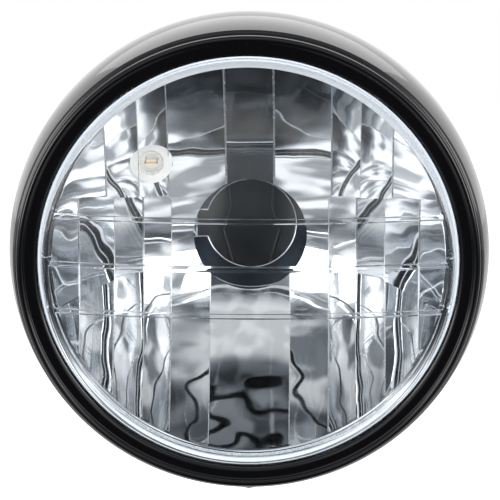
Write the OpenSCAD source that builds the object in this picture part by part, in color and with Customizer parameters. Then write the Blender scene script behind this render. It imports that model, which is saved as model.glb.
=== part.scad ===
/* [Bucket] */
// Widest diameter of the bucket
bucket_dia = 197; // [196.5:0.5:200]
// Distance from the widest place back to the rear pole
bucket_back = 90; // [87:0.5:104]
// How fast the bucket draws in ahead of its widest place
bucket_front = 76.2; // [74:0.1:80]
// Sheet thickness of the bucket
bucket_wall = 1.6; // [1.2:0.1:2]
// Flat spot at the rear pole, diameter
rear_flat_dia = 34; // [30:1:44]

/* [Rim and lens] */
// Outside diameter of the rim
rim_dia = 189; // [188.5:0.1:190]
// Clear opening of the rim
opening_dia = 171; // [170.6:0.1:171.4]
// Sheet thickness of the rim
rim_wall = 0.9; // [0.7:0.1:1]
// Diameter over the flange of the lens
lens_dia = 178; // [176:0.5:179]
// Height of the lens crown above the plane of the opening
lens_crown = 12.8; // [11:0.1:14]
// Radius of the domed face of the lens
lens_radius = 353; // [330:1:400]
// Thickness of the glass
glass_wall = 3.5; // [3:0.1:4]
// Distance between the three moulded ribs
rib_pitch = 19.7; // [16:0.1:22]
// Width of a rib
rib_width = 2.2; // [1.5:0.1:3]
// Height of a rib on the inside of the glass
rib_height = 0.5; // [0.3:0.1:0.8]

/* [Reflector] */
// Focal length of the dish
focal_length = 35; // [34:0.1:36]
// Depth of the middle of the dish behind the widest place of the bucket
dish_depth = 31.9; // [31:0.1:32.5]
// Bore of the bulb neck
neck_dia = 47; // [46:0.5:48]
// Length of the bulb neck
neck_length = 18; // [16:0.5:20]
// Opening for the main bulb
bulb_opening_dia = 38; // [37.5:0.1:38.5]
// How far a facet swells in its middle
facet_swell = 0.6; // [0.2:0.1:1]
// Step between neighbouring facets
facet_step = 0.5; // [0.2:0.1:0.8]
// Place of the parking lamp, to the left of the middle
parking_left = 40.5; // [38:0.5:44]
// Place of the parking lamp, above the middle
parking_up = 33.7; // [30:0.1:36]
// Diameter of the parking lamp socket
parking_dia = 17.4; // [16:0.2:18]

/* [Fixings] */
// Thread of the side mounting nuts, nominal diameter
mount_thread = 8; // [8:0.1:8.4]
// Flat pad round each side mounting hole, diameter
mount_pad_dia = 24; // [22:0.5:25]
// Distance of the side mounting holes behind the widest place
mount_back = 10; // [8.5:0.5:11.5]
// Thread of the rim screw, nominal diameter
rim_thread = 5; // [4:0.5:5]
// Number of spring clips round the reflector
clip_count = 4; // [4:2:8]
// Passage for the cable through the grommet
cable_dia = 12; // [8:0.5:14]

/* [Hidden] */
$fn = 96;

// Heights are measured along the lamp's axis, forward from the middle of its depth.
widest_z = 28;
opening_z = 50;
bucket_r = bucket_dia / 2;
lip_z = 47.9;
lip_drop = 2.2;
lip_bend_r = 94.2;
lip_end_r = 92.9;

// Rim section
rim_r = rim_dia / 2;
opening_r = opening_dia / 2;
skirt_r = rim_r - 2.75;
skirt_end_z = 38;

// Lens section
flange_r = lens_dia / 2;
flange_z = 44;
flange_wall = 3.2;
shoulder_r = opening_r - 0.9;
dome_centre_z = opening_z + lens_crown - lens_radius;
glass_inner_r = shoulder_r - glass_wall;
dome_edge_angle = asin(glass_inner_r / (lens_radius - glass_wall));
fillet_z = dome_centre_z + (lens_radius - glass_wall) * cos(dome_edge_angle);

// Dish of the reflector
dish_r = 80.5;
dish_middle_z = widest_z - dish_depth;
dish_wall = 2.4;
dish_reach = 84;
dish_flange_r = flange_r - 0.5;
dish_flange_wall = 2.2;
neck_r = neck_dia / 2;
neck_wall = 2.5;
neck_end_z = dish_middle_z + 2.4 - neck_length;
seat_flange_r = 31;
seat_flange_wall = 2.2;
upper_columns = [10, 33.5, 45.5, 58.3, dish_reach];
lower_columns = [16.6, 32.6, 43.8, 55.6, 69.3, dish_reach];
row_overlap = 0.3;
lower_row_y = -13.5;
lower_row_fall = 0.3;
lower_row_turn_x = 53;
upper_row_y = 15.8;
upper_row_spread = 600;

// Bulb seat, its clip and the boot over them
seat_wall = 1.2;
seat_back_z = neck_end_z - seat_wall;
seat_r = 30.5;
rivet_reach = 28.4;
rivet_r = 1.6;
rivet_head_r = 2.1;
rivet_head = 1.1;
hinge_y = 25;
clip_wire = 1.4;
clip_half_width = 9;
strap_wall = 1.2;
strap_screw_dia = 3;
clip_z = seat_back_z - clip_wire / 2;
boot_wall = 2;
boot_back_z = seat_back_z - 18;

// Parking lamp
parking_r = parking_dia / 2;
parking_hole_r = parking_r + 0.2;
parking_face_z = dish_z(parking_left, parking_up);
parking_sleeve_z = parking_face_z - 14;

// Side mounts
mount_z = widest_z - mount_back;
pad_x = 96.4;
plate_wall = 2;
nut_height = 6.5;
nut_dia = 15;
plate_r = 9.5;
drain_dia = 5;
nut_outer_x = pad_x - bucket_wall - plate_wall;

// Rim screw at the foot of the lamp
screw_z = 31;
screw_flat = 96.8;
screw_cup_r = 8;
bracket_wall = 1.5;
bracket_width = 16;
screw_wall_r = screw_flat - bucket_wall;

rear_flat_r = rear_flat_dia / 2;
rear_z = widest_z - bucket_wall / 2
    - (bucket_back - bucket_wall / 2) * cos(asin(rear_flat_r / (bucket_r - bucket_wall / 2)));
grommet_r = 10;
cable_r = cable_dia / 2;

// The lamp is drawn round an upright axis, then laid down to look along -Y.
module lamp_frame() {
    rotate([90, 0, 0]) children();
}

// A sheet section: a centre line thickened to both sides, with mitred corners.
function run(p, i) = let (d = p[i + 1] - p[i]) d / norm(d);
function side_step(p, i) =
    let (a = run(p, max(i - 1, 0)), b = run(p, min(i, len(p) - 2)), u = (a + b) / norm(a + b))
    [-u[1], u[0]] / max(u * a, 0.5);
function sheet(p, wall) = concat(
    [for (i = [0 : len(p) - 1]) p[i] + side_step(p, i) * wall / 2],
    [for (i = [len(p) - 1 : -1 : 0]) p[i] - side_step(p, i) * wall / 2]
);

// A smooth curve through the key points of a section.
function curve_point(a, b, c, d, t) =
    0.5 * (2 * b + (c - a) * t + (2 * a - 5 * b + 4 * c - d) * t * t
        + (3 * b - a - 3 * c + d) * t * t * t);
function curve(p, steps) = concat(
    [for (i = [0 : len(p) - 2], k = [0 : steps - 1])
        curve_point(p[max(i - 1, 0)], p[i], p[i + 1], p[min(i + 2, len(p) - 1)], k / steps)],
    [p[len(p) - 1]]
);

function arc(centre, radius, from, to, steps) = [
    for (k = [0 : steps])
        let (a = from + (to - from) * k / steps)
        centre + radius * [cos(a), sin(a)]
];

module ring(inner_r, outer_r, low, high) {
    translate([0, 0, low]) difference() {
        cylinder(r = outer_r, h = high - low);
        translate([0, 0, -1]) cylinder(r = inner_r, h = high - low + 2);
    }
}

// Bucket
function bucket_line() =
    let (
        r = bucket_r - bucket_wall / 2,
        back = bucket_back - bucket_wall / 2,
        front = bucket_front - bucket_wall / 2,
        first = asin(rear_flat_r / r),
        last = asin((lip_z - lip_drop - widest_z) / front)
    )
    concat(
        [[0, widest_z - back * cos(first)]],
        [for (k = [0 : 20]) let (a = first + (90 - first) * k / 20)
            [r * sin(a), widest_z - back * cos(a)]],
        [for (k = [1 : 5]) let (a = last * k / 5) [r * cos(a), widest_z + front * sin(a)]],
        [[lip_bend_r, lip_z - bucket_wall / 2], [lip_end_r, lip_z - bucket_wall / 2]]
    );

module bucket_shell() {
    rotate_extrude() polygon(sheet(bucket_line(), bucket_wall));
}

module bucket_outside() {
    rotate_extrude() polygon(concat([[0, lip_z]], [[0, rear_z]],
        [for (p = bucket_line()) if (p[0] > 0) p + [bucket_wall / 2 * p[0] / bucket_r, 0]]));
}

module to_side(side) {
    translate([0, 0, mount_z]) rotate([0, side * 90, 0]) children();
}

module to_foot() {
    translate([0, 0, screw_z]) rotate([90, 0, 0]) children();
}

module bucket() {
    color("#101012") lamp_frame() difference() {
        union() {
            bucket_shell();
            for (side = [-1, 1]) intersection() {
                to_side(side) translate([0, 0, pad_x - bucket_wall])
                    cylinder(r = mount_pad_dia / 2 + bucket_wall, h = 6);
                bucket_outside();
            }
            intersection() {
                to_foot() translate([0, 0, screw_wall_r])
                    cylinder(r = screw_cup_r + bucket_wall, h = 6);
                bucket_outside();
            }
        }
        for (side = [-1, 1]) to_side(side) {
            translate([0, 0, pad_x]) cylinder(d = mount_pad_dia, h = 10);
            cylinder(d = mount_thread + 0.8, h = bucket_r);
        }
        to_foot() {
            translate([0, 0, screw_flat]) cylinder(r = screw_cup_r, h = 10);
            cylinder(d = rim_thread + 0.6, h = bucket_r);
        }
        translate([0, 0, rear_z - 1]) cylinder(r = grommet_r, h = 6);
        translate([0, 0, mount_z - 6]) rotate([90, 0, 0]) cylinder(d = drain_dia, h = bucket_r + 5);
    }
}

module cable_grommet() {
    color("#1b1b1c") lamp_frame() rotate_extrude() polygon([
        [cable_r, rear_z - 2.2], [grommet_r + 1.2, rear_z - 2.2], [grommet_r + 3, rear_z - 0.8],
        [grommet_r + 3, rear_z], [grommet_r, rear_z], [grommet_r, rear_z + bucket_wall],
        [grommet_r + 2.4, rear_z + bucket_wall], [grommet_r + 2.4, rear_z + bucket_wall + 1],
        [grommet_r + 0.6, rear_z + bucket_wall + 3], [cable_r, rear_z + bucket_wall + 3]
    ]);
}

module side_plates() {
    color("#8c8f92") lamp_frame() for (side = [-1, 1]) to_side(side)
        translate([0, 0, nut_outer_x]) difference() {
            cylinder(r = plate_r, h = plate_wall);
            translate([0, 0, -1]) cylinder(d = mount_thread + 0.8, h = plate_wall + 2);
        }
}

module mount_nuts() {
    color("#9fa3a6") lamp_frame() for (side = [-1, 1]) to_side(side)
        translate([0, 0, nut_outer_x - nut_height]) difference() {
            cylinder(d = nut_dia, h = nut_height, $fn = 6);
            translate([0, 0, -1]) cylinder(d = mount_thread * 0.85, h = nut_height + 2);
        }
}

// Rim
function rim_line() = concat(
    curve([
        [opening_r + 0.5, opening_z - 2.2], [opening_r + 0.55, opening_z - 0.8],
        [opening_r + 1.1, opening_z - 0.05], [opening_r + 2.4, opening_z + 0.3],
        [rim_r - 3.3, opening_z + 0.45], [rim_r - 2.4, opening_z + 1.15],
        [rim_r - 1.3, opening_z + 1.3], [rim_r - 0.6, opening_z + 0.75],
        [rim_r - 0.47, opening_z - 0.3]
    ], 5),
    [[rim_r - 1, lip_z + rim_wall / 2], [skirt_r + 0.1, lip_z + rim_wall / 2],
        [skirt_r - rim_wall / 2, lip_z - 0.4], [skirt_r - rim_wall / 2, skirt_end_z]]
);

module rim() {
    color("#0c0c0d") lamp_frame() rotate_extrude() polygon(sheet(rim_line(), rim_wall));
}

module rim_hook() {
    width_angle = 8;
    color("#8c8f92") lamp_frame() rotate([0, 0, 90 - width_angle / 2])
        rotate_extrude(angle = width_angle) polygon([
            [skirt_r, skirt_end_z], [skirt_r + 1.1, skirt_end_z], [skirt_r + 1.1, lip_z - 4.4],
            [skirt_r + 2.6, lip_z - 4.4], [skirt_r + 2.6, lip_z - 3.2], [skirt_r, lip_z - 3.2]
        ]);
}

// The bracket runs back from the rim's skirt and steps out to the bucket wall, where the screw is.
module screw_bracket() {
    skirt_inner_r = skirt_r - rim_wall;
    inner_r = sqrt(skirt_inner_r * skirt_inner_r - bracket_width * bracket_width / 4);
    joggle = [
        [inner_r - bracket_wall / 2, skirt_end_z + 6],
        [inner_r - bracket_wall / 2, skirt_end_z - 0.9],
        [screw_wall_r - bracket_wall / 2, skirt_end_z - 1.5],
        [screw_wall_r - bracket_wall / 2, screw_z - 7]
    ];
    color("#8c8f92") lamp_frame() difference() {
        rotate([0, 0, 180]) rotate([90, 0, 90])
            translate([0, 0, -bracket_width / 2]) linear_extrude(bracket_width)
                polygon(sheet(joggle, bracket_wall));
        to_foot() cylinder(d = rim_thread + 0.4, h = bucket_r);
    }
}

module screw_nut() {
    height = 4;
    color("#9fa3a6") lamp_frame() to_foot()
        translate([0, 0, screw_wall_r - bracket_wall - height]) difference() {
            cylinder(d = 10, h = height, $fn = 6);
            translate([0, 0, -1]) cylinder(d = rim_thread, h = height + 2);
        }
}

module screw_washer() {
    color("#b9bcbe") lamp_frame() to_foot()
        ring(rim_thread / 2 + 0.2, 5.5, screw_flat, screw_flat + 0.8);
}

module rim_screw() {
    head_low = screw_flat + 0.8;
    color("#c4c6c8") lamp_frame() to_foot() difference() {
        union() {
            translate([0, 0, head_low - 14]) cylinder(d = rim_thread, h = 14.1);
            translate([0, 0, head_low]) cylinder(r1 = 4.6, r2 = 3.9, h = 2.4);
        }
        for (turn = [0, 90]) rotate([0, 0, turn])
            translate([-2.6, -0.5, head_low + 1]) cube([5.2, 1, 2]);
    }
}

module rim_gasket() {
    color("#151516") lamp_frame()
        ring(opening_r + 1.5, flange_r, flange_z + flange_wall, opening_z - 0.6);
}

// Lens
function dome_point(radius, angle) = [radius * sin(angle), dome_centre_z + radius * cos(angle)];

function dome_line(radius, edge_angle) =
    [for (k = [12 : -1 : 0]) dome_point(radius, edge_angle * k / 12)];

function cavity_line(drop) = concat(
    [[0, flange_z - 2], [glass_inner_r, flange_z - 2]],
    [for (p = dome_line(lens_radius - glass_wall, dome_edge_angle)) p - [0, drop]]
);

module lens_outside() {
    rotate_extrude() polygon(concat(
        [[0, flange_z], [flange_r, flange_z], [flange_r, flange_z + flange_wall],
            [shoulder_r, flange_z + flange_wall]],
        arc([glass_inner_r, fillet_z], glass_wall, 0, 90 - dome_edge_angle, 6),
        [for (k = [11 : -1 : 0]) dome_point(lens_radius, dome_edge_angle * k / 12)]
    ));
}

module rib_slabs() {
    for (row = [-1 : 1]) translate([-flange_r, row * rib_pitch - rib_width / 2, flange_z + 4])
        cube([2 * flange_r, rib_width, 30]);
}

module lens() {
    color("#dfe9ee", 0.35) lamp_frame() difference() {
        lens_outside();
        rotate_extrude() polygon(cavity_line(rib_height));
        difference() {
            rotate_extrude() polygon(cavity_line(0));
            rib_slabs();
        }
    }
}

module lens_seal() {
    color("#d9dbdc") lamp_frame()
        ring(glass_inner_r + 1.4, dish_flange_r - 0.6, dish_z(dish_r, 0), flange_z);
}

// Reflector: the dish, its rows and its columns of facets
function dish_z(x, y) = dish_middle_z + (x * x + y * y) / (4 * focal_length);

function row_edge(row, x) =
    row == 0 ? -dish_reach
    : row == 1 ? lower_row_y - lower_row_fall * max(abs(x) - lower_row_turn_x, 0)
    : row == 2 ? upper_row_y + x * x / upper_row_spread
    : dish_reach;

function facet_rise(row, column, along) =
    facet_swell * (1 - along * along) * (row == 1 ? 0.5 : 1)
    + facet_step * ((row + column) % 2 - 0.5);

// One facet: a block under a curved face that runs from side to side and from row edge to row edge.
module facet(row, column, from_x, to_x) {
    across = 4;
    up = row == 1 ? 3 : 6;
    span = across + 1;
    count = span * (up + 1);
    grid = [for (j = [0 : up], i = [0 : across])
        let (
            x = from_x + (to_x - from_x) * i / across,
            low = row_edge(row, x) - row_overlap,
            y = low + (row_edge(row + 1, x) - low) * j / up
        )
        [x, y, dish_z(x, y) + facet_rise(row, column, 2 * i / across - 1)]];
    floor_points = [for (p = grid) [p[0], p[1], neck_end_z - 10]];
    edge = concat(
        [for (i = [0 : across - 1]) i],
        [for (j = [0 : up - 1]) j * span + across],
        [for (i = [across : -1 : 1]) up * span + i],
        [for (j = [up : -1 : 1]) j * span]
    );
    cells = [for (j = [0 : up - 1], i = [0 : across - 1]) j * span + i];
    polyhedron(concat(grid, floor_points), concat(
        [for (c = cells) [c, c + span, c + span + 1]],
        [for (c = cells) [c, c + span + 1, c + 1]],
        [for (c = cells) [c + count, c + count + span + 1, c + count + span]],
        [for (c = cells) [c + count, c + count + 1, c + count + span + 1]],
        [for (k = [0 : len(edge) - 1]) let (a = edge[k], b = edge[(k + 1) % len(edge)])
            [a, b, b + count]],
        [for (k = [0 : len(edge) - 1]) let (a = edge[k], b = edge[(k + 1) % len(edge)])
            [a, b + count, a + count]]
    ));
}

module facet_row(row, columns) {
    facet(row, 0, -columns[0], columns[0]);
    for (k = [1 : len(columns) - 1]) {
        facet(row, k, columns[k - 1], columns[k]);
        facet(row, k, -columns[k], -columns[k - 1]);
    }
}

// The wall of the dish lies between its faceted face and a plain back.
module dish_space() {
    low = dish_middle_z - dish_wall;
    rotate_extrude($fn = 72) polygon(concat(
        [[0, dish_z(dish_r, 0) + 2], [0, low]],
        [for (k = [1 : 9]) let (r = dish_r * k / 9) [r, low + r * r / (4 * focal_length)]],
        [[dish_r, dish_z(dish_r, 0) + 2]]
    ));
}

module reflector_body() {
    flange_top = dish_z(dish_r, 0);
    intersection() {
        union() {
            facet_row(0, lower_columns);
            facet_row(1, lower_columns);
            facet_row(2, upper_columns);
        }
        union() {
            dish_space();
            translate([-parking_left, parking_up, parking_sleeve_z])
                cylinder(r = parking_hole_r + 2.2, h = 30, $fn = 48);
        }
    }
    rotate_extrude($fn = 72) polygon([
        [dish_r - 1.5, flange_top - dish_wall - 1.6], [dish_r + 1.5, flange_top - dish_flange_wall],
        [dish_flange_r, flange_top - dish_flange_wall],
        [dish_flange_r, flange_top], [dish_r - 0.4, flange_top]
    ]);
    translate([0, 0, neck_end_z])
        cylinder(r = neck_r + neck_wall, h = dish_z(neck_r, 0) - 0.8 - neck_end_z, $fn = 72);
    translate([0, 0, neck_end_z]) cylinder(r = seat_flange_r, h = seat_flange_wall, $fn = 72);
}

module at_rivets(z) {
    for (k = [0 : 2]) rotate([0, 0, 30 + 120 * k]) translate([rivet_reach, 0, z]) children();
}

module reflector() {
    color("#c9cdd2") lamp_frame() resize([2 * dish_flange_r, 2 * dish_flange_r, 0]) difference() {
        reflector_body();
        translate([0, 0, neck_end_z - 1]) cylinder(r = neck_r, h = 40, $fn = 72);
        translate([-parking_left, parking_up, parking_sleeve_z - 1])
            cylinder(r = parking_hole_r, h = 50, $fn = 48);
        at_rivets(neck_end_z - 1) cylinder(r = rivet_r + 0.15, h = 4, $fn = 24);
    }
}

// Spring clips between the rim's skirt and the back of the reflector flange
module retaining_clips() {
    flange_back = dish_z(dish_r, 0) - dish_flange_wall;
    outer_r = skirt_r - rim_wall;
    line = concat([[outer_r - 0.4, skirt_end_z + 3]], curve([
        [outer_r - 0.4, skirt_end_z], [outer_r - 0.7, skirt_end_z - 2.5],
        [outer_r - 2.4, skirt_end_z - 4], [outer_r - 4.4, skirt_end_z - 2.5],
        [outer_r - 5, flange_back - 0.05]
    ], 4));
    color("#a8abad") lamp_frame() for (k = [0 : clip_count - 1])
        rotate([0, 0, 45 + 360 / clip_count * k - 3])
            rotate_extrude(angle = 6) polygon(sheet(line, 0.8));
}

// Bulb seat and what holds the bulb in it
module bulb_seat() {
    notch_height = 11.5;
    color("#74797f") lamp_frame() difference() {
        translate([0, 0, seat_back_z]) cylinder(r = seat_r, h = seat_wall);
        translate([0, 0, seat_back_z - 1]) cylinder(d = bulb_opening_dia, h = seat_wall + 2);
        translate([-neck_r + 0.6, -notch_height / 2, seat_back_z - 1])
            cube([neck_r, notch_height, seat_wall + 2]);
        at_rivets(seat_back_z - 1) cylinder(r = rivet_r, h = seat_wall + 2);
    }
}

module seat_rivets() {
    color("#a8abad") lamp_frame() at_rivets(seat_back_z) {
        translate([0, 0, -rivet_head]) cylinder(r1 = rivet_r, r2 = rivet_head_r, h = rivet_head);
        translate([0, 0, -0.1]) cylinder(r = rivet_r, h = seat_wall + seat_flange_wall + 0.2);
        translate([0, 0, seat_wall + seat_flange_wall])
            cylinder(r1 = rivet_head_r, r2 = rivet_r, h = rivet_head);
    }
}

// A round wire along a line of points, with mitred bends.
module bent_wire(line, diameter) {
    sides = 10;
    last = len(line) - 1;
    rings = [for (i = [0 : last])
        let (
            a = run(line, max(i - 1, 0)),
            b = run(line, min(i, last - 1)),
            u = (a + b) / norm(a + b),
            across = cross(u, [0, 0, 1]) / norm(cross(u, [0, 0, 1])),
            up = cross(across, u),
            stretch = 1 / max(u * a, 0.6)
        )
        for (k = [0 : sides - 1])
            line[i] + diameter / 2 * (across * cos(360 * k / sides) * stretch
                + up * sin(360 * k / sides))];
    polyhedron(rings, concat(
        [[for (k = [0 : sides - 1]) k]],
        [[for (k = [sides - 1 : -1 : 0]) last * sides + k]],
        [for (i = [0 : last - 1], k = [0 : sides - 1])
            [i * sides + k, (i + 1) * sides + k, i * sides + (k + 1) % sides]],
        [for (i = [0 : last - 1], k = [0 : sides - 1])
            [(i + 1) * sides + k, (i + 1) * sides + (k + 1) % sides, i * sides + (k + 1) % sides]]
    ));
}

// The clip is one bent wire: a hinge bar above the opening and two legs that meet in a latch loop.
module bulb_clip() {
    w = clip_half_width;
    half = [
        [2.4, hinge_y, clip_z], [w, hinge_y, clip_z], [w + 1, hinge_y - 1, clip_z], [w, 6, clip_z - 3],
        [w + 3, -4, clip_z - 3], [w - 2, -21, clip_z], [2, -26, clip_z - 2]
    ];
    line = concat(half, [for (i = [len(half) - 1 : -1 : 0]) [-half[i][0], half[i][1], half[i][2]]]);
    color("#b7babd") lamp_frame() bent_wire(line, clip_wire);
}

// A folded strap over the hinge bar, with an ear for its screw.
module clip_bracket() {
    gap = clip_wire / 2 + 0.1;
    half = 7;
    low_y = hinge_y - 2.6;
    rise = clip_wire + strap_wall;
    color("#8c8f92") lamp_frame() difference() {
        union() {
            translate([-half, low_y, seat_back_z - rise]) cube([2 * half, 5.2, rise]);
            translate([-half, low_y, seat_back_z - 1]) cube([2 * half, 6.5, 1]);
        }
        translate([-half - 1, hinge_y, clip_z]) rotate([0, 90, 0]) cylinder(r = gap, h = 2 * half + 2);
        translate([-half - 1, hinge_y - gap, clip_z]) cube([2 * half + 2, 2 * gap, 5]);
        translate([0, hinge_y, seat_back_z - 5]) cylinder(d = strap_screw_dia + 0.2, h = 10);
    }
}

module clip_screw() {
    low = seat_back_z - clip_wire - strap_wall;
    head = 1.8;
    color("#c4c6c8") lamp_frame() translate([0, hinge_y, 0]) {
        translate([0, 0, low - head]) cylinder(r1 = 2.2, r2 = 2.8, h = head);
        translate([0, 0, low]) cylinder(d = strap_screw_dia, h = seat_back_z - low);
    }
}

module bulb_boot() {
    outer_r = seat_flange_r + boot_wall;
    line = curve([
        [outer_r - 1.6, neck_end_z + 3.4], [outer_r - 0.8, neck_end_z + 3.2],
        [outer_r + 0.1, neck_end_z + 1.6], [outer_r, neck_end_z - 4],
        [outer_r - 3, boot_back_z + 6], [outer_r - 12, boot_back_z + 1.5],
        [outer_r - 17, boot_back_z]
    ], 4);
    slit = 8.6;
    color("#19191a") lamp_frame() difference() {
        rotate_extrude() polygon(sheet(concat(line, [[0, boot_back_z]]), boot_wall));
        translate([0, 0, boot_back_z - boot_wall]) {
            for (side = [-1, 1]) translate([side * slit - 0.6, -slit / 2, 0])
                cube([1.2, slit, 2 * boot_wall]);
            translate([-slit / 2, slit - 0.6, 0]) cube([slit, 1.2, 2 * boot_wall]);
        }
    }
}

// Parking lamp
module to_parking(z) {
    translate([-parking_left, parking_up, z]) children();
}

module parking_socket() {
    color("#f2f1ec") lamp_frame() to_parking(0) difference() {
        union() {
            translate([0, 0, parking_sleeve_z - 3]) cylinder(r = parking_r, h = 15);
            translate([0, 0, parking_sleeve_z - 4]) cylinder(r = parking_r + 3, h = 2);
            translate([0, 0, parking_sleeve_z - 14]) cylinder(r = 6.5, h = 11);
        }
        translate([0, 0, parking_sleeve_z + 1]) cylinder(r = 5.4, h = 20);
        translate([-3.4, -1.4, parking_sleeve_z - 6]) cube([6.8, 2.8, 10]);
    }
}

module parking_terminals() {
    color("#c7a14a") lamp_frame() to_parking(0) for (side = [-1, 1])
        translate([side * 3 - 0.4, -3.15, parking_sleeve_z - 22]) cube([0.8, 6.3, 8]);
}

module parking_seal() {
    color("#1b1b1c") lamp_frame() to_parking(0)
        ring(parking_r, parking_hole_r + 2.6, parking_sleeve_z - 2, parking_sleeve_z);
}

module parking_bulb() {
    color("#f4f6f8", 0.4) lamp_frame() to_parking(0) difference() {
        union() {
            translate([0, 0, parking_sleeve_z + 1]) cylinder(r = 5, h = 11);
            translate([0, 0, parking_sleeve_z + 12]) sphere(r = 5);
            translate([-3.2, -1.2, parking_sleeve_z - 5]) cube([6.4, 2.4, 7]);
        }
        translate([0, 0, parking_sleeve_z + 3]) cylinder(r = 4.4, h = 9);
        translate([0, 0, parking_sleeve_z + 12]) sphere(r = 4.4);
    }
}

module parking_filament() {
    color("#c98a3c") lamp_frame() to_parking(parking_sleeve_z + 12.5) {
        translate([-2, 0, 0]) rotate([0, 90, 0]) cylinder(r = 0.35, h = 4, $fn = 16);
    }
}

module parking_leads() {
    color("#9c9fa2") lamp_frame() to_parking(parking_sleeve_z + 3) for (side = [-1, 1])
        translate([side * 2.4, 0, 0]) cylinder(r = 0.4, h = 9.8, $fn = 16);
}

bucket();
cable_grommet();
side_plates();
mount_nuts();
rim();
rim_hook();
screw_bracket();
screw_nut();
screw_washer();
rim_screw();
rim_gasket();
lens();
lens_seal();
reflector();
retaining_clips();
bulb_seat();
seat_rivets();
bulb_clip();
clip_bracket();
clip_screw();
bulb_boot();
parking_socket();
parking_terminals();
parking_seal();
parking_bulb();
parking_filament();
parking_leads();
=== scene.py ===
import bpy
import math
import numpy as np
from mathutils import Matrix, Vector


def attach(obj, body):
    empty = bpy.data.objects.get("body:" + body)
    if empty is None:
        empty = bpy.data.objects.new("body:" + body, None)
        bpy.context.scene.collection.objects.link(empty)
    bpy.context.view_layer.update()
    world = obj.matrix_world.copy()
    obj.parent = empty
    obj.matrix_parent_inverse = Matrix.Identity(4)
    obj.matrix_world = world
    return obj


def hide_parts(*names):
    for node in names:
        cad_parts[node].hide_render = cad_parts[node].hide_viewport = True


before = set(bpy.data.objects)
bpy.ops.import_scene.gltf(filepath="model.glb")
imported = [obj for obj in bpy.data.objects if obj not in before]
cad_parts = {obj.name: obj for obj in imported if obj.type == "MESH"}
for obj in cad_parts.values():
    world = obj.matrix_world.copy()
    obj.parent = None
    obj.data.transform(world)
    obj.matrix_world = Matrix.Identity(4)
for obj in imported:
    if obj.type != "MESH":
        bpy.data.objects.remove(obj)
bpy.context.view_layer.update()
scene = bpy.context.scene
mm = 0.001
print("frame loaded:", len(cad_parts), "nodes")

# The lamp is described along its own axis: x to the right, y up, z forward out of the glass, in mm.
lamp = {
    "widestZ": 28.0,
    "openingZ": 50.0,
    "openingR": 85.5,
    "rimR": 94.5,
    "lipZ": 47.9,
    "footScrewZ": 31.0,
}


def lampToRow(p):
    p = np.asarray(p, dtype=float)
    return np.stack([p[..., 0], -p[..., 2], p[..., 1]], axis=-1) * mm


# Mesh helpers

def unit(v):
    return v / np.linalg.norm(v)


def sheetSection(line, wall):
    # a centre line thickened to both sides, with mitred corners
    line = np.asarray(line, dtype=float)
    runs = [unit(line[i + 1] - line[i]) for i in range(len(line) - 1)]
    side = []
    for i in range(len(line)):
        a, b = runs[max(i - 1, 0)], runs[min(i, len(runs) - 1)]
        u = unit(a + b)
        side.append(np.array([-u[1], u[0]]) / max(u @ a, 0.5))
    side = np.array(side) * wall / 2
    return np.vstack([line + side, (line - side)[::-1]])


def smoothCurve(keys, steps):
    keys = np.asarray(keys, dtype=float)
    last = len(keys) - 1
    out = []
    for i in range(last):
        a, b, c, d = (keys[max(i - 1, 0)], keys[i], keys[i + 1], keys[min(i + 2, last)])
        for t in np.arange(steps) / steps:
            out.append(0.5 * (2 * b + (c - a) * t + (2 * a - 5 * b + 4 * c - d) * t * t
                              + (3 * b - a - 3 * c + d) * t ** 3))
    out.append(keys[last])
    return np.array(out)


def arcPoints(centre, radius, fromAngle, toAngle, steps):
    a = np.radians(np.linspace(fromAngle, toAngle, steps + 1))
    return np.stack([centre[0] + radius * np.cos(a), centre[1] + radius * np.sin(a)], axis=1)


def newObject(name, points, faces):
    mesh = bpy.data.meshes.new(name)
    mesh.from_pydata(lampToRow(points).tolist(), [], [list(map(int, f)) for f in faces])
    mesh.validate()
    mesh.update()
    obj = bpy.data.objects.new(name, mesh)
    scene.collection.objects.link(obj)
    return obj


def lathe(name, section, angles=256):
    # a closed section of (r, z) points turned round the lamp's axis
    section = np.asarray(section, dtype=float)
    r, z = section.T
    if r @ np.roll(z, -1) > z @ np.roll(r, -1):
        section = section[::-1]      # the faces then look outward
    turn = np.linspace(0, 2 * np.pi, angles, endpoint=False)
    rows, points = [], []
    for r, z in section:
        if r < 1e-4:
            rows.append([len(points)] * angles)
            points.append((0, 0, z))
        else:
            rows.append(list(range(len(points), len(points) + angles)))
            points.extend((r * math.cos(a), r * math.sin(a), z) for a in turn)
    faces = []
    count = len(section)
    for i in range(count):
        a, b = rows[i], rows[(i + 1) % count]
        if a[0] == a[1] and b[0] == b[1]:
            continue
        for k in range(angles):
            n = (k + 1) % angles
            quad = [a[k], b[k], b[n], a[n]]
            face = [v for j, v in enumerate(quad) if v != quad[j - 1]]
            faces.append(face)
    return newObject(name, np.array(points), faces)


def applyModifiers(obj):
    evaluated = obj.evaluated_get(bpy.context.evaluated_depsgraph_get())
    mesh = bpy.data.meshes.new_from_object(evaluated)
    obj.modifiers.clear()
    obj.data = mesh


def combine(obj, others, how):
    for other in others:
        cut = obj.modifiers.new(how.lower(), "BOOLEAN")
        cut.operation, cut.solver, cut.object = how, "MANIFOLD", other
    applyModifiers(obj)
    for other in others:
        bpy.data.objects.remove(other)
    return obj


def smooth(obj, angle=30):
    mesh = obj.data
    mesh.polygons.foreach_set("use_smooth", [True] * len(mesh.polygons))
    mesh.set_sharp_from_angle(angle=math.radians(angle))


def place(obj, material, nodeNames):
    obj.data.materials.clear()
    obj.data.materials.append(material)
    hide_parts(*nodeNames)
    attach(obj, "root")


# Shader helpers

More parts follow.
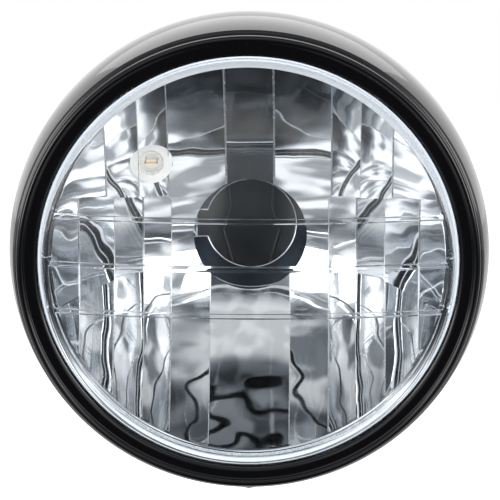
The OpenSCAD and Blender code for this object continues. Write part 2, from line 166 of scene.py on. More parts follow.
def makeGroup(name, inputs, outputs):
    tree = bpy.data.node_groups.new(name, "ShaderNodeTree")
    for label, value in inputs.items():
        kind = "NodeSocketColor" if isinstance(value, tuple) else "NodeSocketFloat"
        tree.interface.new_socket(label, in_out="INPUT", socket_type=kind).default_value = value
    for label, kind in outputs.items():
        tree.interface.new_socket(label, in_out="OUTPUT", socket_type=kind)
    return tree, tree.nodes.new("NodeGroupInput"), tree.nodes.new("NodeGroupOutput")


def surfaceSpeckGroup():
    # fine unevenness of a finish: a value for roughness and a height for bump
    tree, inp, out = makeGroup(
        "surface unevenness",
        {"Scale": 40.0, "Low": 0.1, "High": 0.2, "Ripple Scale": 300.0},
        {"Roughness": "NodeSocketFloat", "Height": "NodeSocketFloat"})
    link = tree.links.new
    coord = tree.nodes.new("ShaderNodeTexCoord")
    broad = tree.nodes.new("ShaderNodeTexNoise")
    broad.inputs["Detail"].default_value = 5
    ripple = tree.nodes.new("ShaderNodeTexNoise")
    ripple.inputs["Detail"].default_value = 0
    spread = tree.nodes.new("ShaderNodeMapRange")
    link(coord.outputs["Object"], broad.inputs["Vector"])
    link(coord.outputs["Object"], ripple.inputs["Vector"])
    link(inp.outputs["Scale"], broad.inputs["Scale"])
    link(inp.outputs["Ripple Scale"], ripple.inputs["Scale"])
    link(broad.outputs["Fac"], spread.inputs["Value"])
    spread.inputs["From Min"].default_value = 0.3
    spread.inputs["From Max"].default_value = 0.7
    link(inp.outputs["Low"], spread.inputs["To Min"])
    link(inp.outputs["High"], spread.inputs["To Max"])
    link(spread.outputs["Result"], out.inputs["Roughness"])
    link(ripple.outputs["Fac"], out.inputs["Height"])
    return tree


unevenness = surfaceSpeckGroup()


def makeMaterial(name, colour, finish):
    # finish: low and high roughness, metal, coat, glow, ripple height in mm and its scale
    material = bpy.data.materials.new(name)
    material.use_nodes = True
    tree = material.node_tree
    shader = tree.nodes["Principled BSDF"]
    shader.inputs["Base Color"].default_value = (*colour, 1)
    shader.inputs["Metallic"].default_value = finish.get("metal", 0)
    shader.inputs["Specular IOR Level"].default_value = finish.get("specular", 0.5)
    shader.inputs["Coat Weight"].default_value = finish.get("coat", 0)
    shader.inputs["Coat Roughness"].default_value = finish.get("coatRoughness", 0.03)
    # painted light: pieces with a glow emit a little in their own colour, which stands in for light
    # shining through milky pieces
    shader.inputs["Emission Color"].default_value = (*colour, 1)
    shader.inputs["Emission Strength"].default_value = finish.get("glow", 0)
    speck = tree.nodes.new("ShaderNodeGroup")
    speck.node_tree = unevenness
    speck.inputs["Scale"].default_value = finish.get("scale", 40)
    speck.inputs["Low"].default_value = finish["low"]
    speck.inputs["High"].default_value = finish["high"]
    speck.inputs["Ripple Scale"].default_value = finish.get("rippleScale", 300)
    tree.links.new(speck.outputs["Roughness"], shader.inputs["Roughness"])
    if finish.get("ripple", 0):
        bump = tree.nodes.new("ShaderNodeBump")
        bump.inputs["Strength"].default_value = finish.get("rippleStrength", 0.2)
        bump.inputs["Distance"].default_value = finish["ripple"] * mm
        tree.links.new(speck.outputs["Height"], bump.inputs["Height"])
        tree.links.new(bump.outputs["Normal"], shader.inputs["Normal"])
    return material


blackPaint = makeMaterial("black gloss paint", (0.006, 0.006, 0.007), {
    "low": 0.2, "high": 0.3, "specular": 0.25, "coat": 1.0, "coatRoughness": 0.03,
    "ripple": 0.02, "rippleScale": 500, "rippleStrength": 0.1})
rimPaint = makeMaterial("black rim paint", (0.005, 0.005, 0.006), {
    "low": 0.12, "high": 0.2, "specular": 0.1, "coat": 0.9, "coatRoughness": 0.03,
    "ripple": 0.02, "rippleScale": 500, "rippleStrength": 0.08})
rubber = makeMaterial("black rubber", (0.012, 0.012, 0.013), {
    "low": 0.45, "high": 0.65, "scale": 120, "ripple": 0.05, "rippleScale": 1500})
bootRubber = makeMaterial("boot rubber", (0.035, 0.042, 0.052), {
    "low": 0.35, "high": 0.55, "scale": 90, "ripple": 0.05, "rippleScale": 1200})
zincSteel = makeMaterial("zinc plated steel", (0.5, 0.51, 0.52), {
    "low": 0.25, "high": 0.42, "metal": 1, "scale": 150, "ripple": 0.02, "rippleScale": 900})
brightSteel = makeMaterial("bright plated steel", (0.66, 0.67, 0.68), {
    "low": 0.14, "high": 0.28, "metal": 1, "scale": 150, "ripple": 0.01, "rippleScale": 900})
springSteel = makeMaterial("spring steel", (0.09, 0.09, 0.1), {
    "low": 0.4, "high": 0.55, "metal": 1, "scale": 200})
seatMetal = makeMaterial("dull seat metal", (0.05, 0.06, 0.075), {
    "low": 0.25, "high": 0.4, "metal": 1, "scale": 60, "ripple": 0.04, "rippleScale": 1200})
# partly painted highlight: the seat's edge lip is real, but its bright metal, much lighter than the
# dark seat, paints the highlight line along the edge
seatEdgeHighlightMetal = makeMaterial("seat edge with painted highlight", (0.85, 0.87, 0.9), {
    "low": 0.15, "high": 0.3, "metal": 1, "scale": 150})
brass = makeMaterial("terminal brass", (0.72, 0.55, 0.27), {
    "low": 0.25, "high": 0.4, "metal": 1, "scale": 200})
# painted light: the seal's pale colour and glow paint the bright ring that light reflected inside the
# edge of the glass gives
sealPaintedRing = makeMaterial("seal with painted bright ring", (0.84, 0.87, 0.91), {
    "low": 0.3, "high": 0.45, "scale": 60, "glow": 0.3})
# the socket's white is its own colour; its glow is painted light that brightens it beyond what
# reaches it through the glass
whitePlastic = makeMaterial("white socket plastic", (0.9, 0.9, 0.88), {
    "low": 0.35, "high": 0.5, "scale": 80, "ripple": 0.02, "rippleScale": 700, "glow": 0.25})
# painted light: the filament's orange colour and glow paint a warm glow, though no lamp lights it
tungstenPaintedGlow = makeMaterial("filament wire with painted glow", (0.85, 0.36, 0.03), {
    "low": 0.4, "high": 0.6, "scale": 300, "glow": 0.3})

mirrorShape = {
    "fineRipple": 0.065,
    "fineScale": 95.0,
    "broadRipple": 0.42,
    "broadScale": 36.0,
}


def makeMirrorCoat():
    # metal coat over moulded plastic: a fine ripple on top of a broad, lazy one
    s = mirrorShape
    material = makeMaterial("reflector mirror coat", (0.88, 0.9, 0.93), {
        "low": 0.012, "high": 0.035, "metal": 1, "scale": 25,
        "ripple": s["fineRipple"], "rippleScale": s["fineScale"], "rippleStrength": 1.0})
    tree = material.node_tree
    shader = tree.nodes["Principled BSDF"]
    fine = shader.inputs["Normal"].links[0].from_node
    broad = tree.nodes.new("ShaderNodeGroup")
    broad.node_tree = unevenness
    broad.inputs["Ripple Scale"].default_value = s["broadScale"]
    bump = tree.nodes.new("ShaderNodeBump")
    bump.inputs["Strength"].default_value = 1.0
    bump.inputs["Distance"].default_value = s["broadRipple"] * mm
    tree.links.new(broad.outputs["Height"], bump.inputs["Height"])
    tree.links.new(bump.outputs["Normal"], fine.inputs["Normal"])
    return material


mirrorCoat = makeMirrorCoat()
edgeCoat = makeMaterial("coated rounded edges", (0.95, 0.96, 0.97), {
    "low": 0.2, "high": 0.3, "metal": 1, "scale": 300})


def makeGlass(name, tint, ior):
    material = makeMaterial(name, tint, {"low": 0.0, "high": 0.012, "scale": 60,
                                         "ripple": 0.02, "rippleScale": 40, "rippleStrength": 0.05})
    shader = material.node_tree.nodes["Principled BSDF"]
    shader.inputs["Transmission Weight"].default_value = 1
    shader.inputs["IOR"].default_value = ior
    return material


lensGlass = makeGlass("lens glass", (0.97, 0.985, 0.99), 1.5)
bulbGlass = makeGlass("bulb glass", (0.99, 0.99, 0.98), 1.12)
print("materials made")

# Bucket

bucketShape = {
    "radius": 98.5,
    "back": 90.0,
    "front": 76.2,
    "wall": 1.6,
    "rearFlatR": 17.0,
    "lipStart": 2.2,
    "lipR": 92.9,
    "padReach": 96.4,
    "padR": 12.0,
    "padZ": 18.0,
    "boltHoleR": 4.4,
    "footReach": 96.8,
    "footR": 8.0,
    "footHoleR": 2.8,
    "grommetR": 10.0,
    "drainR": 2.5,
    "drainZ": 12.0,
    "drillFrom": 80,
    "drillTo": 106,
    "drillBack": (50, 70),
    "angles": 288,
}


def bucketLine():
    s = bucketShape
    r, back, front = (s[k] - s["wall"] / 2 for k in ("radius", "back", "front"))
    first = math.asin(s["rearFlatR"] / r)
    last = math.asin((lamp["lipZ"] - s["lipStart"] - lamp["widestZ"]) / front)
    rear = np.linspace(first, np.pi / 2, 60)
    ahead = np.linspace(0, last, 15)[1:]
    lip = lamp["lipZ"] - s["wall"] / 2
    return np.vstack([
        [[0, lamp["widestZ"] - back * math.cos(first)]],
        np.stack([r * np.sin(rear), lamp["widestZ"] - back * np.cos(rear)], axis=1),
        np.stack([r * np.cos(ahead), lamp["widestZ"] + front * np.sin(ahead)], axis=1),
        [[s["lipR"] + 2.2, lip - 0.7], [s["lipR"] + 1.8, lip - 0.2], [s["lipR"] + 1.3, lip],
         [s["lipR"], lip]],
    ])


def plug(name, origin, direction, radius, low, high, sides=96):
    # a round plug along a direction from an origin, in lamp space
    along = unit(np.asarray(direction, dtype=float))
    side = unit(np.cross(along, [0.31, 0.17, 0.93]))
    up = np.cross(along, side)
    turn = np.linspace(0, 2 * np.pi, sides, endpoint=False)
    rim = radius * (np.outer(np.cos(turn), side) + np.outer(np.sin(turn), up))
    points = np.vstack([np.asarray(origin) + along * low + rim,
                        np.asarray(origin) + along * high + rim])
    faces = [list(range(sides))[::-1], list(range(sides, 2 * sides))]
    faces += [[k, (k + 1) % sides, (k + 1) % sides + sides, k + sides] for k in range(sides)]
    return newObject(name, points, faces)


def makeBucket():
    s = bucketShape
    line = bucketLine()
    section = sheetSection(line, s["wall"])
    section[:, 0] = np.maximum(section[:, 0], 0)
    bucket = lathe("bucketShell", section, s["angles"])
    # the pads stand on the inside of the shell and end at its outer face
    outline = section[:len(line)] if section[5, 0] > section[-6, 0] else section[len(line):][::-1]
    outline = np.vstack([outline[:-2], [[0, outline[-3][1]]]])
    foot = (0, 0, lamp["footScrewZ"])
    outside = s["radius"] + 2.5
    pads = []
    for side in (-1, 1):
        pads.append(plug("pad", (0, 0, s["padZ"]), (side, 0, 0), s["padR"] + s["wall"],
                         s["padReach"] - s["wall"], outside, 128))
    pads.append(plug("pad", foot, (0, -1, 0), s["footR"] + s["wall"],
                     s["footReach"] - s["wall"], outside))
    padSet = combine(pads[0], pads[1:], "UNION")
    padSet = combine(padSet, [lathe("outside", outline, s["angles"])], "INTERSECT")
    combine(bucket, [padSet], "UNION")
    near, far = s["drillFrom"], s["drillTo"]
    cuts = []
    for side in (-1, 1):
        cuts.append(plug("cut", (0, 0, s["padZ"]), (side, 0, 0), s["padR"], s["padReach"], far, 128))
        cuts.append(plug("cut", (0, 0, s["padZ"]), (side, 0, 0), s["boltHoleR"], near, far))
    cuts.append(plug("cut", foot, (0, -1, 0), s["footR"], s["footReach"], far))
    cuts.append(plug("cut", foot, (0, -1, 0), s["footHoleR"], near, far))
    cuts.append(plug("cut", (0, 0, s["drainZ"]), (0, -1, 0), s["drainR"], near, far))
    cuts.append(plug("cut", (0, 0, 0), (0, 0, -1), s["grommetR"], *s["drillBack"]))
    combine(bucket, cuts, "DIFFERENCE")
    smooth(bucket, 25)
    place(bucket, blackPaint, ["bucket"])


makeBucket()
print("bucket made")

# Rim

rimShape = {
    "wall": 0.9,
    "skirtR": 91.75,
    "skirtEndZ": 38.0,
    "steps": 10,
    "angles": 384,
}


def makeRim():
    s = rimShape
    o, z, r = lamp["openingR"], lamp["openingZ"], lamp["rimR"]
    seat = lamp["lipZ"] + s["wall"] / 2
    inner = s["skirtR"] - s["wall"] / 2
    line = np.vstack([
        smoothCurve([
            [o + 0.5, z - 2.2], [o + 0.55, z - 0.8], [o + 1.1, z - 0.05], [o + 2.4, z + 0.3],
            [r - 3.3, z + 0.45], [r - 2.4, z + 1.15], [r - 1.3, z + 1.3], [r - 0.6, z + 0.75],
            [r - 0.47, z - 0.3]],
            s["steps"]),
        [[r - 1, seat], [s["skirtR"] + 0.1, seat], [inner, lamp["lipZ"] - 0.4],
         [inner, s["skirtEndZ"]]],
    ])
    rim = lathe("rimRing", sheetSection(line, s["wall"]), s["angles"])
    smooth(rim, 40)
    place(rim, rimPaint, ["rim"])


makeRim()
print("rim made")

# Lens

lensShape = {
    "flangeR": 89.0,
    "flangeZ": 44.0,
    "flangeWall": 3.2,
    "shoulderR": 84.6,
    "wall": 3.5,
    "crownZ": 62.8,
    "domeR": 353.0,
    "ribPitch": 19.7,
    "ribWidth": 2.2,
    "ribHeight": 0.5,
    "ribKeep": 1.9,
    "rowSteps": 91,
    "ribSteps": 19,
    "across": 64,
}


def ribRise(y):
    # rounded flat-topped ribs across the inside of the glass
    s = lensShape
    rise = np.zeros_like(y)
    for row in (-1, 0, 1):
        off = np.abs(y - row * s["ribPitch"]) / (s["ribWidth"] / 2)
        rise += s["ribHeight"] * np.clip(1 - np.clip(off, 0, 1.2) ** 6, 0, 1)
    return rise


def makeLens():
    s = lensShape
    centreZ = s["crownZ"] - s["domeR"]
    innerR = s["shoulderR"] - s["wall"]
    edge = math.asin(innerR / (s["domeR"] - s["wall"]))
    filletZ = centreZ + (s["domeR"] - s["wall"]) * math.cos(edge)
    dome = np.linspace(edge, 0, 40)
    outer = np.vstack([
        [[s["flangeR"], s["flangeZ"]], [s["flangeR"], s["flangeZ"] + s["flangeWall"]],
         [s["shoulderR"] + 0.5, s["flangeZ"] + s["flangeWall"]],
         [s["shoulderR"], s["flangeZ"] + s["flangeWall"] + 0.5]],
        arcPoints((innerR, filletZ), s["wall"], 0, 90 - math.degrees(edge), 16),
        np.stack([s["domeR"] * np.sin(dome[1:]), centreZ + s["domeR"] * np.cos(dome[1:])], axis=1),
    ])
    inside = s["domeR"] - s["wall"]
    # rows across the inside follow the ribs, so that each rib has its own rounded edges
    rib = np.linspace(-1.25, 1.25, s["ribSteps"]) * s["ribWidth"] / 2
    plain = np.sin(np.linspace(-np.pi / 2, np.pi / 2, s["rowSteps"])) * innerR
    keep = [y for y in plain if min(abs(y - k * s["ribPitch"]) for k in (-1, 0, 1)) > s["ribKeep"]]
    rows = np.array(sorted(keep + [k * s["ribPitch"] + d for k in (-1, 0, 1) for d in rib]))
    rows[0], rows[-1] = -innerR, innerR
    # the turned wall takes its angles from the ends of the rows
    right = np.arcsin(np.clip(rows / innerR, -1, 1))
    angles = np.concatenate([right, np.pi - right[-2:0:-1]])
    count = len(angles)
    points, faces = [], []

    def addRing(r, z):
        start = len(points)
        points.extend((r * math.cos(a), r * math.sin(a), z) for a in angles)
        return [start + k for k in range(count)]

    rings = [addRing(r, z) for r, z in outer[:-1]]
    apex = len(points)
    points.append((0, 0, outer[-1][1]))
    inner = [addRing(innerR, s["flangeZ"]), addRing(innerR, filletZ)]
    loop = [inner[1], inner[0]] + rings
    for a, b in zip(loop, loop[1:]):
        faces += [[a[k], a[(k + 1) % count], b[(k + 1) % count], b[k]] for k in range(count)]
    faces += [[rings[-1][k], rings[-1][(k + 1) % count], apex] for k in range(count)]
    # inside face, row by row between the two ends that the wall already has
    across = s["across"]
    grid = []
    for j, y in enumerate(rows):
        half = math.sqrt(max(innerR ** 2 - y ** 2, 0))
        ends = (inner[1][(count - j) % count if 0 < j < len(rows) - 1 else j], inner[1][j])
        if half < 1e-6:
            grid.append([ends[1]] * (across + 1))
            continue
        row = [ends[0]]
        for k in range(1, across):
            x = -half + 2 * half * k / across
            near = 1 - math.hypot(x, y) / innerR
            drop = float(ribRise(np.array([y]))[0]) * min(1, near * 40)
            z = centreZ + math.sqrt(inside ** 2 - x * x - y * y) - drop
            row.append(len(points))
            points.append((x, y, z))
        row.append(ends[1])
        grid.append(row)
    for a, b in zip(grid, grid[1:]):
        for k in range(across):
            quad = [a[k], b[k], b[k + 1], a[k + 1]]
            face = [v for i, v in enumerate(quad) if v != quad[i - 1]]
            if len(face) > 2:
                faces.append(face)
    lens = newObject("lensGlassDome", np.array(points), faces)
    bpy.context.view_layer.objects.active = lens
    bpy.ops.object.select_all(action="DESELECT")
    lens.select_set(True)
    bpy.ops.object.mode_set(mode="EDIT")
    bpy.ops.mesh.select_all(action="SELECT")
    bpy.ops.mesh.normals_make_consistent(inside=False)
    bpy.ops.object.mode_set(mode="OBJECT")
    smooth(lens, 38)
    lens.visible_shadow = False      # light comes in through the glass
    place(lens, lensGlass, ["lens"])


makeLens()
print("lens made")

# Reflector

dishShape = {
    "focal": 35.0,
    "middleZ": -3.9,
    "edgeR": 80.5,
    "wall": 2.4,
    "reach": 84.0,
    "flangeR": 88.5,
    "flangeWall": 2.2,
    "blockFloor": -34.0,
    "neckR": 23.5,
    "neckWall": 2.5,
    "neckLength": 18.0,
    "seatFlangeR": 31.0,
    "swell": 0.6,
    "step": 0.5,
    "upperColumns": [10, 33.5, 45.5, 58.3, 84],
    "lowerColumns": [16.6, 32.6, 43.8, 55.6, 69.3, 84],
    "lowerRowY": -13.5,
    "lowerRowFall": 0.3,
    "lowerRowTurnX": 53.0,
    "upperRowY": 15.8,
    "upperRowSpread": 600.0,
    "rowOverlap": 0.3,
    "rivetReach": 28.4,
    "rivetHoleR": 1.75,
    "parkingAt": (-40.5, 33.7),
    "parkingHoleR": 8.9,
    "sleeveDepth": 14.0,
    "sleeveWall": 2.2,
    "across": 14,
}


def dishZ(x, y):
    return dishShape["middleZ"] + (x * x + y * y) / (4 * dishShape["focal"])


def rowEdge(row, x):
    # the lower edge of a row of facets, where row 3 stands for the top of the dish
    s = dishShape
    if row == 0:
        return -s["reach"] + 0 * x
    if row == 1:
        return s["lowerRowY"] - s["lowerRowFall"] * np.maximum(np.abs(x) - s["lowerRowTurnX"], 0)
    if row == 2:
        return s["upperRowY"] + x * x / s["upperRowSpread"]
    return s["reach"] + 0 * x


def facetZ(row, column, fromX, toX, x, y):
    s = dishShape
    along = (2 * x - fromX - toX) / (toX - fromX)
    swell = s["swell"] * (0.5 if row == 1 else 1)
    return dishZ(x, y) + swell * (1 - along * along) + s["step"] * ((row + column) % 2 - 0.5)


facetRows = ((0, "lowerColumns"), (1, "lowerColumns"), (2, "upperColumns"))


def facetList():
    for row, columns in facetRows:
        edges = dishShape[columns]
        yield row, 0, -edges[0], edges[0]
        for k in range(1, len(edges)):
            yield row, k, edges[k - 1], edges[k]
            yield row, k, -edges[k], -edges[k - 1]


def facetBlock(row, column, fromX, toX, floor):
    s = dishShape
    across = s["across"]
    up = 10 if row == 1 else 22
    u, v = np.meshgrid(np.linspace(0, 1, across + 1), np.linspace(0, 1, up + 1))
    x = fromX + (toX - fromX) * u
    low = rowEdge(row, x) - s["rowOverlap"]
    y = low + (rowEdge(row + 1, x) - low) * v
    top = np.stack([x, y, facetZ(row, column, fromX, toX, x, y)], axis=-1).reshape(-1, 3)
    bottom = top.copy()
    bottom[:, 2] = floor
    span, count = across + 1, len(top)
    faces = []
    for j in range(up):
        for i in range(across):
            c = j * span + i
            faces.append([c, c + 1, c + span + 1, c + span])
            faces.append([c + count, c + count + span, c + count + span + 1, c + count + 1])
    edge = (list(range(across)) + [j * span + across for j in range(up)]
            + [up * span + i for i in range(across, 0, -1)] + [j * span for j in range(up, 0, -1)])
    for k, a in enumerate(edge):
        b = edge[(k + 1) % len(edge)]
        faces.append([b, a, a + count, b + count])
    return newObject("facet", np.vstack([top, bottom]), faces)


def facetNormals(obj):
    # each facet keeps the true slope of its own curve, so that its mirror image stays clean
    s = dishShape
    mesh = obj.data
    count = len(mesh.vertices)
    co = np.empty(count * 3)
    mesh.vertices.foreach_get("co", co)
    co = co.reshape(-1, 3) / mm
    px, py, pz = co[:, 0], co[:, 2], -co[:, 1]
    normals = np.zeros((len(mesh.loops), 3))
    facets = list(facetList())
    for poly in mesh.polygons:
        ids = list(poly.vertices)
        cx, cy, cz = px[ids].mean(), py[ids].mean(), pz[ids].mean()
        best, bestGap = None, 0.12
        n = poly.normal
        if -n.y > 0.3:
            for row, column, fromX, toX in facets:
                if not fromX - 0.01 <= cx <= toX + 0.01:
                    continue
                gap = abs(facetZ(row, column, fromX, toX, cx, cy) - cz)
                low = rowEdge(row, cx) - s["rowOverlap"] - 0.01
                if low <= cy <= rowEdge(row + 1, cx) + 0.01 and gap < bestGap:
                    best, bestGap = (row, column, fromX, toX), gap
        for k in poly.loop_indices:
            if best is None:
                normals[k] = n
                continue
            row, column, fromX, toX = best
            v = mesh.loops[k].vertex_index
            half = (toX - fromX) / 2
            along = (2 * px[v] - fromX - toX) / (toX - fromX)
            swell = s["swell"] * (0.5 if row == 1 else 1)
            slopeX = px[v] / (2 * s["focal"]) - 2 * swell * along / half
            slopeY = py[v] / (2 * s["focal"])
            local = unit(np.array([-slopeX, -slopeY, 1.0]))
            normals[k] = (local[0], -local[2], local[1])
    mesh.polygons.foreach_set("use_smooth", [True] * len(mesh.polygons))
    mesh.normals_split_custom_set(normals.tolist())


def makeReflector():
    s = dishShape
    blocks = [facetBlock(*facet, s["blockFloor"]) for facet in facetList()]
    body = combine(blocks[0], blocks[1:], "UNION")
    body.name = "reflectorDish"
    r = np.linspace(0, s["edgeR"], 40)
    low = s["middleZ"] - s["wall"]
    flangeTop = dishZ(s["edgeR"], 0)
    space = lathe("space", np.vstack([
        [[0, flangeTop + 2]], np.stack([r, low + r * r / (4 * s["focal"])], axis=1),
        [[s["edgeR"], flangeTop + 2]]]))
    px, py = s["parkingAt"]
    sleeveZ = dishZ(px, py) - s["sleeveDepth"]
    boss = plug("boss", (px, py, 0), (0, 0, 1), s["parkingHoleR"] + s["sleeveWall"],
                sleeveZ, sleeveZ + 30)
    space = combine(space, [boss], "UNION")
    combine(body, [space], "INTERSECT")
    neckEnd = s["middleZ"] + s["wall"] - s["neckLength"]
    flangeBack = flangeTop - s["flangeWall"]
    flange = lathe("flange", [
        [s["edgeR"] - 1.5, flangeTop - s["wall"] - 1.6], [s["edgeR"] + 1.5, flangeBack],
        [s["flangeR"], flangeBack], [s["flangeR"], flangeTop], [s["edgeR"] - 0.4, flangeTop]])
    neck = plug("neck", (0, 0, 0), (0, 0, 1), s["neckR"] + s["neckWall"], neckEnd,
                dishZ(s["neckR"], 0) - 0.8, 160)
    foot = plug("foot", (0, 0, 0), (0, 0, 1), s["seatFlangeR"], neckEnd,
                neckEnd + s["flangeWall"], 160)
    combine(body, [flange, neck, foot], "UNION")
    cuts = [plug("cut", (0, 0, 0), (0, 0, 1), s["neckR"], neckEnd - 1, 30, 192),
            plug("cut", (px, py, 0), (0, 0, 1), s["parkingHoleR"], sleeveZ - 1, 60, 96)]
    for k in range(3):
        a = math.radians(30 + 120 * k)
        at = (s["rivetReach"] * math.cos(a), s["rivetReach"] * math.sin(a), 0)
        cuts.append(plug("cut", at, (0, 0, 1), s["rivetHoleR"], neckEnd - 1, neckEnd + 3, 32))
    combine(body, cuts, "DIFFERENCE")
    facetNormals(body)
    place(body, mirrorCoat, ["reflector"])
    print("reflector faces", len(body.data.polygons))


makeReflector()
print("reflector made")

stepShape = {
    "wide": 0.48,
    "narrow": 0.22,
    "sunk": 0.35,
    "edgeGap": 0.8,
    "neckGap": 0.3,
    "parkingGap": 0.4,
    "shortest": 2.0,
    "sides": 8,
    "points": 40,
}


def stepRun(row, x):
    # where a step line at x starts and ends, clear of the dish's edge and of the neck
    s = dishShape
    reach = math.sqrt((s["edgeR"] - stepShape["edgeGap"]) ** 2 - x * x)
    low = max(float(rowEdge(row, np.array(x))), -reach)
    high = min(float(rowEdge(row + 1, np.array(x))), reach)
    if abs(x) < s["neckR"]:
        inside = math.sqrt(s["neckR"] ** 2 - x * x) + stepShape["neckGap"]
        low, high = (low, -inside) if row == 0 else (max(low, inside), high)
    return low, high


def clearOfParkingLamp(row, x, y):
    px, py = dishShape["parkingAt"]
    clear = dishShape["parkingHoleR"] + stepShape["parkingGap"]
    if row == 2 and math.hypot(x - px, y - py) < clear:
        return py - math.copysign(math.sqrt(clear ** 2 - (x - px) ** 2), py - y)
    return y


def stepEdge(row, x, radius, low, high, points, faces):
    s, n = stepShape, stepShape["sides"]
    start = len(points)
    for y in np.linspace(low, high, s["points"]):
        y = clearOfParkingLamp(row, x, y)
        z = float(dishZ(x, y)) + dishShape["step"] / 2 - radius * s["sunk"]
        slope = math.atan(y / (2 * dishShape["focal"]))
        for a in np.linspace(0, 2 * np.pi, n, endpoint=False):
            out = radius * math.sin(a)
            points.append((x + radius * math.cos(a), y - out * math.sin(slope),
                           z + out * math.cos(slope)))
    for i in range(s["points"] - 1):
        for j in range(n):
            a, b = start + i * n + j, start + i * n + (j + 1) % n
            faces.append([a, b, b + n, a + n])
    faces.append([start + j for j in range(n)][::-1])
    faces.append([start + (s["points"] - 1) * n + j for j in range(n)])


def makeStepEdges():
    # the moulded steps between columns have rounded edges that catch the light
    s = stepShape
    points, faces = [], []
    for row, columns in facetRows:
        for k, column in enumerate(dishShape[columns][:-1]):
            radius = s["wide"] if row == 2 and k == 0 else s["narrow"]
            for x in (-column, column):
                low, high = stepRun(row, x)
                if high - low >= s["shortest"]:
                    stepEdge(row, x, radius, low, high, points, faces)
    edges = newObject("reflectorStepEdges", np.array(points), faces)
    smooth(edges, 60)
    edges.data.materials.append(edgeCoat)
    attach(edges, "root")


makeStepEdges()
print("step edges made")

# Bulb seat edge and boot

seatShape = {
    "openingR": 19.0,
    "notchHalf": 5.75,
    "notchX": -22.9,
    "frontZ": -19.5,
    "edgeR": 0.32,
    "sides": 10,
}

bootShape = {
    "outerR": 33.0,
    "wall": 2.0,
    "backZ": -38.7,
    "slit": 8.6,
    "slitWidth": 0.3,
    "slitDepth": 0.7,
}


def makeSeatEdge():
    # a rounded lip round the opening and its notch, in a bright metal that paints the highlight along
    # the edge
    s = seatShape
    corner = math.degrees(math.asin(s["notchHalf"] / s["openingR"]))
    loop = arcPoints((0, 0), s["openingR"], -180 + corner, 180 - corner, 120)
    side = np.linspace(loop[-1][0], s["notchX"], 9)[1:]
    loop = np.vstack([loop, [[x, s["notchHalf"]] for x in side],
                      [[x, -s["notchHalf"]] for x in side[::-1]]])
    count = len(loop)
    turn = np.linspace(0, 2 * np.pi, s["sides"], endpoint=False)
    points, faces = [], []
    for i in range(count):
        before, after = unit(loop[i] - loop[i - 1]), unit(loop[(i + 1) % count] - loop[i])
        along = unit(before + after)
        out = np.array([-along[1], along[0]]) / max(along @ after, 0.6)
        for a in turn:
            x, y = loop[i] + out * math.cos(a) * s["edgeR"]
            points.append((x, y, s["frontZ"] + math.sin(a) * s["edgeR"]))
    n = s["sides"]
    for i in range(count):
        for k in range(n):
            a, b = i * n + k, i * n + (k + 1) % n
            c, d = ((i + 1) % count) * n + (k + 1) % n, ((i + 1) % count) * n + k
            faces.append([a, b, c, d])
    edge = newObject("bulbSeatEdge", np.array(points), faces)
    smooth(edge, 60)
    edge.data.materials.append(seatEdgeHighlightMetal)
    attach(edge, "root")


def slab(name, low, high):
    # a plain block between two corners, in lamp space
    points = [(x, y, z) for z in (low[2], high[2]) for y in (low[1], high[1])
              for x in (low[0], high[0])]
    faces = [[0, 2, 3, 1], [4, 5, 7, 6], [0, 1, 5, 4], [2, 6, 7, 3], [0, 4, 6, 2], [1, 3, 7, 5]]
    return newObject(name, np.array(points, dtype=float), faces)


def makeBoot():
    # a bellied rubber boot with closed slits for the blades of a bulb
    s = bootShape
    r, back, neckEnd = s["outerR"], s["backZ"], seatShape["frontZ"]
    line = smoothCurve([
        [r - 1.6, neckEnd + 3.4], [r - 0.8, neckEnd + 3.2], [r + 0.1, neckEnd + 1.6],
        [r, neckEnd - 4], [r - 3, back + 6], [r - 12, back + 1.5], [r - 17, back]], 8)
    section = sheetSection(np.vstack([line, [[0, back]]]), s["wall"])
    section[:, 0] = np.maximum(section[:, 0], 0)
    boot = lathe("bulbBootRubber", section, 128)
    # each slit is pressed in from behind and from the front, with a skin left between
    wall, slit, half, cuts = s["wall"], s["slit"], s["slitWidth"] / 2, []
    for low, high in ((back - wall, back - wall / 2 + s["slitDepth"]),
                      (back + wall / 2 - s["slitDepth"], back + wall)):
        for x in (-slit, slit):
            cuts.append(slab("slit", (x - half, -slit / 2, low), (x + half, slit / 2, high)))
        cuts.append(slab("slit", (-slit / 2, slit - half, low), (slit / 2, slit + half, high)))
    combine(boot, cuts, "DIFFERENCE")
    smooth(boot, 35)
    place(boot, bootRubber, ["bulb_boot"])


makeSeatEdge()
makeBoot()
print("seat edge and boot made")

# The pieces that keep their own solids

finishes = {
    "cable_grommet": rubber, "side_plates": zincSteel, "mount_nuts": zincSteel,
    "rim_hook": zincSteel, "screw_bracket": zincSteel, "screw_nut": zincSteel,
    "screw_washer": brightSteel, "rim_screw": brightSteel, "rim_gasket": rubber,
    "lens_seal": sealPaintedRing, "retaining_clips": springSteel, "bulb_seat": seatMetal,
    "seat_rivets": zincSteel, "bulb_clip": springSteel, "clip_bracket": seatMetal,
    "clip_screw": brightSteel, "parking_socket": whitePlastic,
    "parking_terminals": brass, "parking_seal": rubber, "parking_bulb": bulbGlass,
    "parking_filament": tungstenPaintedGlow, "parking_leads": zincSteel,
}
for name, material in finishes.items():
    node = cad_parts[name]
    node.data.materials.clear()
    node.data.materials.append(material)
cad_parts["parking_bulb"].visible_shadow = False
print("finishes given to", len(finishes), "solids")

# Camera, floor and light

view = {
    "azimuth": 1.0,
    "elevation": 14.2,
    "distance": 1.8,
    "frameWidth": 0.203,
    "sensorWidth": 36,
    "shiftRight": 0.00073,
    "shiftUp": 0.00546,
}


